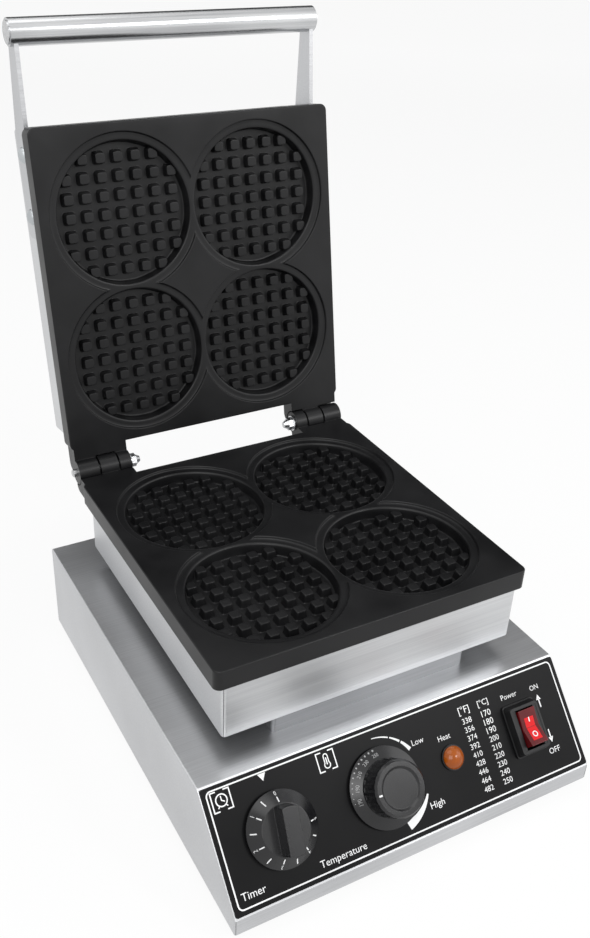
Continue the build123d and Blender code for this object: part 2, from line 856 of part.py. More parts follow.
# Terminal block on the bottom cover and the cable gland in the back
with BuildPart() as terminal_block:
    with BuildSketch(Plane.XY.offset(base_z)):
        with Locations(block_at):
            RectangleRounded(48, 24, 2)
    extrude(amount=8)
    with BuildSketch(Plane.XY.offset(base_z + 8)):
        with Locations(block_at):
            RectangleRounded(48, 15, 2)
    extrude(amount=10)
    with BuildSketch(Plane.XY.offset(base_z + 18)):
        with Locations(block_at):
            with GridLocations(13, 7, 3, 2):
                Circle(2.2)
    extrude(amount=-7, mode=Mode.SUBTRACT)
save(terminal_block, "terminal_block")

with BuildPart() as cable_gland:
    with BuildSketch(Plane.XZ.offset(-back_y)):
        with Locations(gland_at):
            RegularPolygon(13, 6)
    extrude(amount=-5)
    with BuildSketch(Plane.XZ.offset(-back_y - 5)):
        with Locations(gland_at):
            Circle(11)
    with BuildSketch(Plane.XZ.offset(-back_y - 17)):
        with Locations(gland_at):
            Circle(7.5)
    loft()
    with BuildSketch(Plane.XZ.offset(-back_y)):
        with Locations(gland_at):
            Circle(8)
    extrude(amount=10)
    with BuildSketch(Plane.XZ.offset(-back_y + 10)):
        with Locations(gland_at):
            Circle(4.1)
    extrude(amount=-40, mode=Mode.SUBTRACT)
save(cable_gland, "cable_gland")

with BuildPart() as gland_nut:
    with BuildSketch(Plane.XZ.offset(-back_y + sheet)):
        with Locations(gland_at):
            RegularPolygon(12, 6)
            Circle(8, mode=Mode.SUBTRACT)
    extrude(amount=5)
save(gland_nut, "gland_nut")
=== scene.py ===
import bpy
import bmesh
import numpy as np
from mathutils import Matrix


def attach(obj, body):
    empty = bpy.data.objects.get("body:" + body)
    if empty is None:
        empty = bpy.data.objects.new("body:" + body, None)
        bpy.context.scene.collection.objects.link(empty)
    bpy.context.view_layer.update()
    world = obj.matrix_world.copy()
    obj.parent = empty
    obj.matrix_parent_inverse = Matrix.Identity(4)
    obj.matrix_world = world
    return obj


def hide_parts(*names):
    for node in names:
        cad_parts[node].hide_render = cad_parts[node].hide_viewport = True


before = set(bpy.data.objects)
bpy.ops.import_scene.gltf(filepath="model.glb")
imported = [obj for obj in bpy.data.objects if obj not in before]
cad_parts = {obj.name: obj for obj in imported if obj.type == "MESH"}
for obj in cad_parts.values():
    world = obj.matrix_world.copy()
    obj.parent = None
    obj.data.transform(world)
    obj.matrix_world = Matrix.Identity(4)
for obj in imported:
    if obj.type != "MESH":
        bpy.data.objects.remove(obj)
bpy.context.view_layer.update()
print("frame loaded:", len(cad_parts), "nodes")

mm = 0.001

# The sloping panel: x across, s up the slope from its foot, h out of its face, all in mm
panelFrame = {"frontY": -205.2518, "lipZ": 24.0, "run": 51.5, "rise": 56.0}
slopeAngle = np.arctan2(panelFrame["rise"], panelFrame["run"])
slopeCos, slopeSin = np.cos(slopeAngle), np.sin(slopeAngle)
panelOut = np.array([0.0, -slopeSin, slopeCos])


def onPanel(points):
    # (x, s, h) in mm to metres in the shared frame: s runs up the slope, h straight out of it
    p = np.asarray(points, float)
    y = panelFrame["frontY"] + p[:, 1] * slopeCos - p[:, 2] * slopeSin
    z = panelFrame["lipZ"] + p[:, 1] * slopeSin + p[:, 2] * slopeCos
    return np.stack([p[:, 0], y, z], -1) * mm


def linearColor(hexText):
    # sRGB hex to linear: below 0.04045 a straight line, above it the 2.4 power
    c = np.array([int(hexText[i:i + 2], 16) for i in (1, 3, 5)]) / 255.0
    c = np.where(c <= 0.04045, c / 12.92, ((c + 0.055) / 1.055) ** 2.4)
    return (float(c[0]), float(c[1]), float(c[2]), 1.0)


def addNode(tree, kind, inputs=None, links=None, **settings):
    # one node with its settings, its plain input values, and links as (input, node, output)
    node = tree.nodes.new(kind)
    for key, value in settings.items():
        setattr(node, key, value)
    for key, value in (inputs or {}).items():
        node.inputs[key].default_value = value
    for key, source, output in (links or []):
        tree.links.new(source.outputs[output], node.inputs[key])
    return node


def newMaterial(name, hexText, metallic, roughness, ior=None, gloss=None):
    # gloss is the specular level; a metal keeps the shader's own IOR
    material = bpy.data.materials.new(name)
    material.use_nodes = True
    tree = material.node_tree
    shader = tree.nodes["Principled BSDF"]
    shader.inputs["Base Color"].default_value = linearColor(hexText)
    shader.inputs["Metallic"].default_value = metallic
    shader.inputs["Roughness"].default_value = roughness
    for key, value in (("IOR", ior), ("Specular IOR Level", gloss)):
        if value is not None:
            shader.inputs[key].default_value = value
    return material, tree, shader


def twoTones(tree, source, output, dark, light):
    # a colour ramp with two stops, each (position, hex)
    ramp = addNode(tree, "ShaderNodeValToRGB", links=[("Fac", source, output)])
    for index, (position, hexText) in enumerate((dark, light)):
        ramp.color_ramp.elements[index].position = position
        ramp.color_ramp.elements[index].color = linearColor(hexText)
    return ramp


def roughnessFrom(tree, shader, noise, roughness):
    # the noise's middle range spreads over the two roughness values
    limits = {"From Min": 0.3, "From Max": 0.7, "To Min": roughness[0], "To Max": roughness[1]}
    spread = addNode(tree, "ShaderNodeMapRange", limits, [("Value", noise, "Fac")])
    tree.links.new(spread.outputs["Result"], shader.inputs["Roughness"])


def brushedMetal(name, darkHex, lightHex, grain, roughness, bumpMm=0.01):
    # grain: noise cells per metre along X, Y and Z, so that the brush lines run along the smallest one
    material, tree, shader = newMaterial(name, lightHex, 1.0, sum(roughness) / 2)
    place = addNode(tree, "ShaderNodeTexCoord")
    stretch = addNode(tree, "ShaderNodeMapping", {"Scale": grain}, [("Vector", place, "Object")])
    fine = {"Scale": 1.0, "Detail": 3.0, "Roughness": 0.6}
    lines = addNode(tree, "ShaderNodeTexNoise", fine, [("Vector", stretch, "Vector")])
    cloud = addNode(tree, "ShaderNodeTexNoise", {"Scale": 9.0, "Detail": 2.0}, [("Vector", place, "Object")])
    # colour follows half the lines and half the cloud
    both = addNode(tree, "ShaderNodeMath", {1: 0.5}, [(0, lines, "Fac")], operation="MULTIPLY")
    mixed = addNode(tree, "ShaderNodeMath", {1: 0.5}, [(0, cloud, "Fac"), (2, both, 0)], operation="MULTIPLY_ADD")
    ramp = twoTones(tree, mixed, 0, (0.36, darkHex), (0.64, lightHex))
    tree.links.new(ramp.outputs["Color"], shader.inputs["Base Color"])
    roughnessFrom(tree, shader, lines, roughness)
    bump = addNode(tree, "ShaderNodeBump", {"Strength": 0.35, "Distance": bumpMm * mm}, [("Height", lines, "Fac")])
    tree.links.new(bump.outputs["Normal"], shader.inputs["Normal"])
    return material


def speckled(name, darkHex, lightHex, metallic, roughness, cellMm, bumpMm=0.01, edgeMm=0.0, ior=None, gloss=None):
    # a fine all-over grain: cast, moulded, sprayed or felted surfaces, with edges that catch the light as if rounded
    material, tree, shader = newMaterial(name, lightHex, metallic, sum(roughness) / 2, ior, gloss)
    place = addNode(tree, "ShaderNodeTexCoord")
    fine = {"Scale": 1000.0 / cellMm, "Detail": 4.0, "Roughness": 0.65}
    grain = addNode(tree, "ShaderNodeTexNoise", fine, [("Vector", place, "Object")])
    cloud = addNode(tree, "ShaderNodeTexNoise", {"Scale": 25.0, "Detail": 3.0}, [("Vector", place, "Object")])
    ramp = twoTones(tree, cloud, "Fac", (0.32, darkHex), (0.7, lightHex))
    tree.links.new(ramp.outputs["Color"], shader.inputs["Base Color"])
    roughnessFrom(tree, shader, cloud, roughness)
    bump = addNode(tree, "ShaderNodeBump", {"Strength": 0.3, "Distance": bumpMm * mm}, [("Height", grain, "Fac")])
    if edgeMm:
        rounding = addNode(tree, "ShaderNodeBevel", {"Radius": edgeMm * mm}, samples=6)
        tree.links.new(rounding.outputs["Normal"], bump.inputs["Normal"])
    tree.links.new(bump.outputs["Normal"], shader.inputs["Normal"])
    return material


sheetGrain = (9.0, 900.0, 900.0)  # streaks about 110 mm long and 1.1 mm apart
# Stainless sheet, grade 430, brushed with 240 grit: soft streaks along the width. The real ones are 0.3 mm apart,
# and are drawn coarser so that they show
brushedSheet = brushedMetal("brushedStainlessSheet", "#B9BABC", "#CDCED0", sheetGrain, (0.34, 0.42))
# The collar's sheet under the cooking box, painted darker and greyer than the brushed pieces as painted shade, and a
# little duller
paintedShadeNeckSheet = brushedMetal("neckSheetWithPaintedShade", "#818284", "#949597", sheetGrain, (0.42, 0.5))
# Stainless sheet on the cooking boxes, drawn and polished a little brighter
boxSheet = brushedMetal("satinStainlessBox", "#C4C5C7", "#DADBDC", sheetGrain, (0.36, 0.44))
# Polished stainless tube: long drawn streaks, sharp dark and white bands
polishedTube = brushedMetal("polishedStainlessTube", "#A3A4A6", "#CFD0D1", (5.0, 420.0, 420.0), (0.2, 0.3))
# Zinc-plated steel: slightly blue, cloudy
zincSteel = speckled("zincPlatedSteel", "#9FA3A6", "#C6CACC", 1.0, (0.25, 0.4), 1.5, 0.02)
# Cast aluminium under sprayed black non-stick: satin, with a fine orange-peel of about 1 mm
castingCoat = speckled("nonStickCastAluminium", "#0F0F10", "#19191A", 0.0, (0.3, 0.4), 1.1, 0.05, 0.5,
                       ior=1.45, gloss=0.32)
# Screen-printed polyester film on steel: satin black, nearly smooth
panelFilm = speckled("printedBlackFilm", "#0D0D0E", "#131314", 0.0, (0.34, 0.4), 0.8, ior=1.5, gloss=0.11)
# White screen-printing ink: matt and even, a little thin in places
whiteInk = speckled("whitePrintedInk", "#E2E2E2", "#F6F6F6", 0.0, (0.5, 0.6), 0.6)
# Grey hot-stamped figures, thinner than the white ones
greyInk = speckled("greyStampedInk", "#8C8C8C", "#B4B4B4", 0.0, (0.5, 0.6), 0.6)
# Moulded phenolic plastic: black, finely spark-eroded, soft highlights
knobPlastic = speckled("mouldedPhenolic", "#0E0E10", "#161618", 0.0, (0.22, 0.3), 0.6, 0.02, 0.5,
                       ior=1.55, gloss=0.42)
# Moulded nylon for gland, frame and lamp body: matt black
nylonBlack = speckled("mouldedNylon", "#121213", "#1B1B1C", 0.0, (0.36, 0.46), 0.5, 0.03, 0.4,
                      ior=1.53, gloss=0.28)
# Nitrile rubber foot: dull, finely pitted
footRubber = speckled("nitrileRubber", "#1A1A1A", "#2A2A2A", 0.0, (0.75, 0.9), 0.9, 0.06)
# Clear amber polycarbonate: warm, deep and glossy
amberLens = speckled("amberPolycarbonate", "#8E4002", "#C66A0A", 0.0, (0.14, 0.2), 3.0, 0.02, ior=1.58, gloss=0.3)
# Clear red polycarbonate, dark red all over as painted shade: the lit rocker's sides, where the light has to come
# through its depth
redRocker = speckled("deepRedPolycarbonate", "#4A0A0E", "#6A0E13", 0.0, (0.2, 0.28), 3.0, 0.02, ior=1.58, gloss=0.3)
# The same plastic painted bright red on its top: a painted glow of the lit rocker
paintedGlowRed = speckled("redPolycarbonatePaintedGlow", "#CC0E14", "#E6171F", 0.0, (0.22, 0.3), 3.0, ior=1.58, gloss=0.3)
# Oxidised heater sheath, brown-grey from its first heating
heaterSheath = speckled("oxidisedHeaterSheath", "#4A423A", "#7C756C", 1.0, (0.45, 0.6), 1.2, 0.03)
# Mineral wool: felted, matt and yellowish
mineralWool = speckled("mineralWool", "#B9AD86", "#D8CFAE", 0.0, (0.9, 1.0), 2.0, 0.4)
# Glazed ceramic and white thermoset bodies
whiteThermoset = speckled("whiteThermoset", "#D8D5C8", "#EFEDE4", 0.0, (0.3, 0.4), 0.8, ior=1.5)
# The shadow in a folded seam: dark, matt grey
seamShade = speckled("seamShadow", "#3A3A3B", "#4C4C4E", 0.0, (0.6, 0.7), 1.0)

nodeFinish = {
    "brushed": (brushedSheet, ["base_housing", "bottom_cover", "handle_strap_left", "handle_strap_right"]),
    # the neck takes the darker sheet: painted shade under the cooking box
    "neckShade": (paintedShadeNeckSheet, ["neck"]),
    "satin": (boxSheet, ["lower_box", "lid_cover"]),
    "polished": (polishedTube, ["handle_bar", "handle_plugs", "hinge_nuts", "hinge_pin_left", "hinge_pin_right"]),
    "zinc": (zincSteel, [
        "handle_screws", "cover_screws", "foot_screws", "lower_clamp", "lid_clamp", "lower_bolts", "lid_bolts",
        "thermostat_bulb", "bush_nuts", "timer_body", "timer_shaft", "thermostat_shaft", "capillary_tube",
    ]),
    "coated": (castingCoat, ["lower_plate", "lid_plate"]),
    "film": (panelFilm, ["control_panel"]),
    "knob": (knobPlastic, ["timer_knob", "thermostat_knob"]),
    "nylon": (nylonBlack, ["switch_frame", "pilot_lamp", "cable_gland", "gland_nut"]),
    "rubber": (footRubber, ["rubber_feet"]),
    "amber": (amberLens, ["lamp_lens"]),
    "red": (redRocker, ["switch_rocker"]),
    "heater": (heaterSheath, ["lower_heater", "lid_heater"]),
    "wool": (mineralWool, ["lower_wool", "lid_wool"]),
    "white": (whiteThermoset, ["terminal_block", "thermostat_body"]),
}
finished = [(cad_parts[name], material) for material, names in nodeFinish.values() for name in names]
for solid, material in finished:
    solid.data.materials.clear()
    solid.data.materials.append(material)
print("finishes on", len(finished), "nodes")


def linkedObject(name, data):
    item = bpy.data.objects.new(name, data)
    bpy.context.scene.collection.objects.link(item)
    return item


def newPiece(name, points, faces, material, body, smooth=False):
    mesh = bpy.data.meshes.new(name)
    mesh.from_pydata(np.asarray(points).tolist(), [], [list(map(int, f)) for f in faces])
    mesh.materials.append(material)
    if smooth:
        mesh.polygons.foreach_set("use_smooth", np.ones(len(mesh.polygons), bool))
    mesh.update()
    piece = linkedObject(name, mesh)
    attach(piece, body)
    return piece


def facingOut(points, faces, outward):
    # every flat face is turned so that its normal points outward
    result = []
    for face in faces:
        a, b, c = points[face[0]], points[face[1]], points[face[2]]
        result.append(face if np.dot(np.cross(b - a, c - a), outward) >= 0 else face[::-1])
    return result


def printedPiece(name, points, faces, ink, body):
    return newPiece(name, points, facingOut(points, faces, panelOut), ink, body)


def joined(parts):
    # several (points, faces) as one
    points, faces, start = [], [], 0
    for p, f in parts:
        points.append(p)
        faces += [[i + start for i in face] for face in f]
        start += len(p)
    return np.concatenate(points), faces


def stroke(path, width, closed=False):
    # a flat line of even width: each point is set off to both sides along the mean normal of its two runs
    p = np.asarray(path, float)
    before = p - np.roll(p, 1, 0)
    after = np.roll(p, -1, 0) - p
    if not closed:
        before[0], after[-1] = after[0], before[-1]
    before /= np.linalg.norm(before, axis=1)[:, None]
    after /= np.linalg.norm(after, axis=1)[:, None]
    n1 = np.stack([-before[:, 1], before[:, 0]], -1)
    n2 = np.stack([-after[:, 1], after[:, 0]], -1)
    n = n1 + n2
    n /= np.maximum((n * n1).sum(1), 0.3)[:, None]  # a sharp corner's mitre stays short
    n *= 0.5 * width
    count = len(p)
    points = np.concatenate([p + n, p - n])
    last = count if closed else count - 1
    faces = [[i, i + count, (i + 1) % count + count, (i + 1) % count] for i in range(last)]
    return points, faces


def clockPoint(centre, radius, clock):
    # clock angles in degrees: 0 is up the slope, and they grow clockwise
    a = np.radians(clock)
    return np.stack([centre[0] + radius * np.sin(a), centre[1] + radius * np.cos(a)], -1)


def arcPath(centre, radius, start, end, count):
    return clockPoint(centre, radius, np.linspace(start, end, count))


def ringPath(centre, radius, count):
    # evenly spaced points once round, the last one short of the first
    return arcPath(centre, radius, 0, 360 - 360 / count, count)


def polygon(path):
    return np.asarray(path, float), [list(range(len(path)))]


def word(text, centre, width=None, height=None, turn=0.0):
    # the word's outline, filled, centred, scaled to the given width or height, and turned clockwise
    curve = bpy.data.curves.new("word", "FONT")
    curve.body = text
    curve.resolution_u = 3
    holder = bpy.data.objects.new("word", curve)
    mesh = bpy.data.meshes.new_from_object(holder)
    points = np.empty(len(mesh.vertices) * 3)
    mesh.vertices.foreach_get("co", points)
    points = points.reshape(-1, 3)[:, :2]
    faces = [list(f.vertices) for f in mesh.polygons]
    bpy.data.objects.remove(holder)
    bpy.data.curves.remove(curve)
    bpy.data.meshes.remove(mesh)
    low, high = points.min(0), points.max(0)
    scale = height / (high[1] - low[1]) if height else width / (high[0] - low[0])
    points = (points - (low + high) / 2) * scale
    c, s = np.cos(np.radians(-turn)), np.sin(np.radians(-turn))
    points = np.stack([points[:, 0] * c - points[:, 1] * s, points[:, 0] * s + points[:, 1] * c], -1)
    return points + np.asarray(centre), faces


# Printing on the control panel, in mm across and up the slope
panelPrint = {
    "lift": 0.08,
    "border": {"x": 130.7, "low": 3.5, "high": 73.2, "corner": 3.0, "line": 0.9},
    "words": [
        ("Timer", (-119.4, 10.2), 16.0), ("Temperature", (-58.0, 8.6), 32.7), ("Low", (14.2, 55.8), 9.0),
        ("High", (14.4, 14.5), 10.5), ("Heat", (33.6, 51.9), 9.6), ("Power", (91.0, 61.4), 13.2),
        ("ON", (112.3, 60.4), 7.0), ("OFF", (112.5, 17.0), 9.0),
        ("[°F]", (54.0, 63.2), 8.6), ("[°C]", (69.7, 63.2), 8.6),
    ],
    "columns": [(54.0, 338, 18), (69.7, 170, 10)],  # x, first figure, step
    "rows": (56.4, 10.8, 9),  # top, bottom, count
    "digitWidth": 7.4,
    "crescent": {
        "centre": (-18.0, 36.6), "outer": 31.4, "steps": 9,
        "runs": [(2, 24, 0.5, 0.9), (26, 40, 0.9, 1.5), (42, 57, 1.5, 2.5), (116, 163, 1.2, 6.2)],
    },
    "timerMark": [(-93.9, 67.8), (-91.2, 72.4), (-96.6, 72.4)],
    "bracket": {"line": 0.8, "arm": 3.6},
    "clock": {
        "frame": (-128.4, -116.2, 60.2, 71.9), "centre": (-122.3, 66.2), "radius": 3.6, "line": 0.8, "thin": 0.7,
        "hands": [(-122.3, 68.8), (-122.3, 66.2), (-120.4, 65.0)],
        "feet": [[(-125.4, 62.0), (-124.4, 63.2)], [(-119.2, 62.0), (-120.2, 63.2)]],
    },
    "thermometer": {
        "frame": (-56.7, -44.6, 59.5, 71.0), "tip": ((-50.6, 68.2), 1.4), "bulb": ((-50.6, 62.8), 2.0), "line": 0.7,
        "thread": [(-50.6, 63.0), (-50.6, 67.4)], "threadLine": 0.8,
    },
    "arrows": [((113.0, 55.2), (113.0, 46.4)), ((112.7, 22.2), (112.7, 31.0))],  # tip and tail
    "arrow": {"line": 0.9, "shaftEnd": 2.6, "headLength": 3.6, "headHalf": 1.9},
}


def panelBorder(b):
    corners = []
    for sideX, sideS, start in ((1, 1, 0), (1, -1, 90), (-1, -1, 180), (-1, 1, 270)):
        edge = b["high"] if sideS > 0 else b["low"]
        middle = (sideX * (b["x"] - b["corner"]), edge - sideS * b["corner"])
        corners.append(arcPath(middle, b["corner"], start, start + 90, 7))
    return stroke(np.concatenate(corners), b["line"], closed=True)


def bracketFrame(x0, x1, s0, s1, line, arm):
    # a square frame with open middles at the top and bottom
    left = stroke([(x0 + arm, s1), (x0, s1), (x0, s0), (x0 + arm, s0)], line)
    right = stroke([(x1 - arm, s0), (x1, s0), (x1, s1), (x1 - arm, s1)], line)
    return [left, right]


def heatCrescent(c):
    # ring sectors from one clock angle to another, each growing evenly inwards from one thickness to the next
    parts, n = [], c["steps"]
    for start, end, thin, thick in c["runs"]:
        clock = np.linspace(start, end, n)
        inner = c["outer"] - np.linspace(thin, thick, n)
        ring = [clockPoint(c["centre"], radius, clock) for radius in (c["outer"], inner)]
        parts.append((np.concatenate(ring), [[i, i + n, i + n + 1, i + 1] for i in range(n - 1)]))
    return parts


def clockIcon(c):
    parts = [stroke(ringPath(c["centre"], c["radius"], 24), c["line"], closed=True)]
    return parts + [stroke(path, c["thin"]) for path in [c["hands"], *c["feet"]]]


def thermometerIcon(t):
    # half a circle round the tip and three quarters of one round the bulb make one closed line
    outline = np.concatenate([arcPath(*t["tip"], -90, 90, 9), arcPath(*t["bulb"], 45, 315, 17)])
    return [stroke(outline, t["line"], closed=True), stroke(t["thread"], t["threadLine"])]


def arrowParts(tip, tail, a):
    way = np.sign(tip[1] - tail[1])
    barb = tip[1] - way * a["headLength"]
    shaft = stroke([tail, (tip[0], tip[1] - way * a["shaftEnd"])], a["line"])
    return [shaft, polygon([(tip[0] - a["headHalf"], barb), tip, (tip[0] + a["headHalf"], barb)])]


inkParts = [panelBorder(panelPrint["border"])]
inkParts += [word(*entry) for entry in panelPrint["words"]]
for x, first, step in panelPrint["columns"]:
    for row, s in enumerate(np.linspace(*panelPrint["rows"])):
        inkParts.append(word(str(first + step * row), (x, s), panelPrint["digitWidth"]))
inkParts += heatCrescent(panelPrint["crescent"])
inkParts.append(polygon(panelPrint["timerMark"]))
for icon in ("clock", "thermometer"):
    inkParts += bracketFrame(*panelPrint[icon]["frame"], **panelPrint["bracket"])
inkParts += clockIcon(panelPrint["clock"]) + thermometerIcon(panelPrint["thermometer"])
for tip, tail in panelPrint["arrows"]:
    inkParts += arrowParts(tip, tail, panelPrint["arrow"])
inkFlat, inkFaces = joined(inkParts)
inkPoints = onPanel(np.column_stack([inkFlat, np.full(len(inkFlat), panelPrint["lift"])]))
printedPiece("panelPrint", inkPoints, inkFaces, whiteInk, "base")
print("panel print:", len(inkFaces), "faces")

# Marks on the knobs, laid on the cone of each skirt: inner and outer are (radius, height) on that cone
timerMarks = {
    "centre": (-92.0, 38.0), "inner": (15.6, 9.5), "outer": (23.3, 3.0), "lift": 0.08,
    "span": (3.0, -267.0), "count": 11, "tickWidth": 0.75, "longTick": (16.6, 19.4), "shortTick": (18.2, 21.6),
    "figureRadius": 21.4, "figureHeight": 2.2,
}
thermoMarks = {
    "centre": (-18.0, 37.0), "inner": (18.2, 6.0), "outer": (25.6, 2.6), "lift": 0.08,
    "span": (-95.0, -5.0), "dots": 13, "dotRadius": 24.2, "dotSizes": (0.3, 0.65),
    "figures": ["170", "190", "210", "230", "250"], "figureRadius": 21.2, "figureWidth": 4.2,
    "pointer": {"clock": -88, "from": 13.6, "to": 15.9, "width": 1.1, "height": 22.28},
}


def onSkirt(flat, marks):
    # flat marks drawn round the knob's middle are lifted on to its cone: height falls evenly with radius
    points, faces = flat
    rel = points - np.asarray(marks["centre"])
    radius = np.hypot(rel[:, 0], rel[:, 1])
    (r0, h0), (r1, h1) = marks["inner"], marks["outer"]
    height = h0 + (radius - r0) * (h1 - h0) / (r1 - r0) + marks["lift"]
    return onPanel(np.column_stack([points, height])), faces


tickParts = []
for index, clock in enumerate(np.linspace(*timerMarks["span"], timerMarks["count"])):
    isLong = index % 2 == 0
    radii = timerMarks["longTick" if isLong else "shortTick"]
    path = [clockPoint(timerMarks["centre"], r, clock) for r in radii]
    tickParts.append(stroke(path, timerMarks["tickWidth"]))
    if isLong:
        place = clockPoint(timerMarks["centre"], timerMarks["figureRadius"], clock)
        tickParts.append(word(str(index // 2), place, height=timerMarks["figureHeight"], turn=clock))
printedPiece("timerTicks", *onSkirt(joined(tickParts), timerMarks), whiteInk, "timer_dial")

dotParts = []
dotClocks = np.linspace(*thermoMarks["span"], thermoMarks["dots"])
for clock, size in zip(dotClocks, np.linspace(*thermoMarks["dotSizes"], thermoMarks["dots"])):
    dotParts.append(polygon(ringPath(clockPoint(thermoMarks["centre"], thermoMarks["dotRadius"], clock), size, 12)))
for figure, clock in zip(thermoMarks["figures"], np.linspace(*thermoMarks["span"], len(thermoMarks["figures"]))):
    place = clockPoint(thermoMarks["centre"], thermoMarks["figureRadius"], clock)
    dotParts.append(word(figure, place, thermoMarks["figureWidth"], turn=clock))
printedPiece("thermostatFigures", *onSkirt(joined(dotParts), thermoMarks), greyInk, "thermostat_dial")

pointer = thermoMarks["pointer"]
pointerEnds = [clockPoint(thermoMarks["centre"], pointer[end], pointer["clock"]) for end in ("from", "to")]
pointerFlat, pointerFaces = stroke(pointerEnds, pointer["width"])
pointerPoints = onPanel(np.column_stack([pointerFlat, np.full(len(pointerFlat), pointer["height"])]))
printedPiece("thermostatPointer", pointerPoints, pointerFaces, whiteInk, "thermostat_dial")
print("knob marks done")

# Rocker: a prism whose top is a shallow V, tipped about its pivot; the guard round it narrows the frame's opening
rocker = {
    "centre": (94.5, 38.0), "pivot": 5.0, "tilt": -10.0, "valley": 8.6, "rise": 3.8 / 14.0,
    "reach": 11.9, "round": 13.0, "belly": 0.38, "halfWidth": 6.8, "soft": 0.6 * mm,
    "faceHalf": 3.7, "faceRuns": ((0.12, 6.4), (-8.8, -0.12)), "faceLift": 0.04,
    "barSign": ((0, 3.4), (0, 6.4)), "barWidth": 0.8, "ringSign": ((0, -5.0), 1.6, 24), "ringWidth": 0.7,
    "signLift": 0.1,
    "guard": {"inner": (7.2, 13.4), "outer": (9.9, 13.9), "low": 1.0, "high": 7.3, "soft": 0.5 * mm},
}


def onRocker(points):
    # (x, u, h) round the rocker's middle, h above the panel; u and h turn about the pivot by the tilt
    u, o = points[:, 1], points[:, 2] - rocker["pivot"]
    c, s = np.cos(np.radians(rocker["tilt"])), np.sin(np.radians(rocker["tilt"]))
    x, middle = rocker["centre"]
    return onPanel(np.stack([x + points[:, 0], middle + u * c - o * s, rocker["pivot"] + u * s + o * c], -1))


def topOfRocker(u, lift=0.0):
    # the V: height grows evenly to both sides of the valley
    return rocker["valley"] + rocker["rise"] * np.abs(u) + lift


def softEdges(piece, width):
    bevel = piece.modifiers.new("softEdge", "BEVEL")
    bevel.width = width
    bevel.segments = 2
    bevel.limit_method = "ANGLE"
    bevel.angle_limit = 0.6


def prism(outline, low, high):
    # an outline in two coordinates, carried straight along x from low to high
    count = len(outline)
    ends = [np.insert(outline, 0, value, axis=1) for value in (low, high)]
    sides = [[i, (i + 1) % count, (i + 1) % count + count, i + count] for i in range(count)]
    return np.concatenate(ends), sides + [list(range(count))[::-1], list(range(count, 2 * count))]


def rockerOutline(r):
    # the underside is a flattened arc below the pivot, the top is the V
    foot = np.linspace(-r["reach"], r["reach"], 13)
    underside = r["pivot"] - np.sqrt(np.maximum(r["round"] ** 2 - foot ** 2, 0)) * r["belly"]
    top = [[u, topOfRocker(u)] for u in (r["reach"], 0, -r["reach"])]
    return np.concatenate([np.stack([foot, underside], -1), top])


rockerPoints, rockerSides = prism(rockerOutline(rocker), -rocker["halfWidth"], rocker["halfWidth"])
rockerPiece = newPiece("rockerCap", onRocker(rockerPoints), rockerSides, redRocker, "power_rocker")
softEdges(rockerPiece, rocker["soft"])
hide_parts("switch_rocker")

# two bright patches on the rocker's top: painted glow of the lit rocker, not a lamp
brightParts = []
for u0, u1 in rocker["faceRuns"]:
    w = rocker["faceHalf"]
    corners = np.array([(-w, u0), (w, u0), (w, u1), (-w, u1)])
    brightParts.append((np.column_stack([corners, topOfRocker(corners[:, 1], rocker["faceLift"])]), [[0, 1, 2, 3]]))
brightPoints, brightFaces = joined(brightParts)
newPiece("rockerPaintedGlow", onRocker(brightPoints), brightFaces, paintedGlowRed, "power_rocker")

barSign = stroke(rocker["barSign"], rocker["barWidth"])
ringSign = stroke(ringPath(*rocker["ringSign"]), rocker["ringWidth"], closed=True)
signs, signFaces = joined([barSign, ringSign])
signPoints = onRocker(np.column_stack([signs, topOfRocker(signs[:, 1], rocker["signLift"])]))
printedPiece("rockerSigns", signPoints, signFaces, whiteInk, "power_rocker")


def squareTube(g, centre):
    # four square loops, inner and outer at both heights, joined each to the next and the last to the first
    loops = []
    for side, level in (("inner", "low"), ("inner", "high"), ("outer", "high"), ("outer", "low")):
        halfX, halfS = g[side]
        loop = np.array([(-halfX, -halfS), (halfX, -halfS), (halfX, halfS), (-halfX, halfS)]) + np.asarray(centre)
        loops.append(np.column_stack([loop, np.full(4, g[level])]))
    faces = []
    for here in range(4):
        beyond = (here + 1) % 4
        for i in range(4):
            k = (i + 1) % 4
            faces.append([here * 4 + i, beyond * 4 + i, beyond * 4 + k, here * 4 + k])
    return np.concatenate(loops), faces


guardPoints, guardFaces = squareTube(rocker["guard"], rocker["centre"])
guardPiece = newPiece("rockerGuard", onPanel(guardPoints), guardFaces, nylonBlack, "base")
softEdges(guardPiece, rocker["guard"]["soft"])
print("rocker done")

# Folded seams: the shadow line where the sheet meets at a front corner; each line is x, y, low z and high z
seams = {
    "width": 0.35, "lift": 0.05,
    "lines": [
        (-108.9, -134.9518, 94.6, 134.0), (-134.3, -205.2518, 10.8, 22.0), (134.3, -205.2518, 10.8, 22.0),
    ],
}
seamParts = []
for x, y, low, high in seams["lines"]:
    x0, x1, front = x - seams["width"] / 2, x + seams["width"] / 2, y - seams["lift"]
    corners = np.array([(x0, front, low), (x1, front, low), (x1, front, high), (x0, front, high)])
    seamParts.append((corners, [[0, 1, 2, 3]]))
seamPoints, seamFaces = joined(seamParts)
newPiece("foldedSeams", seamPoints * mm, seamFaces, seamShade, "base")
print("seams done")

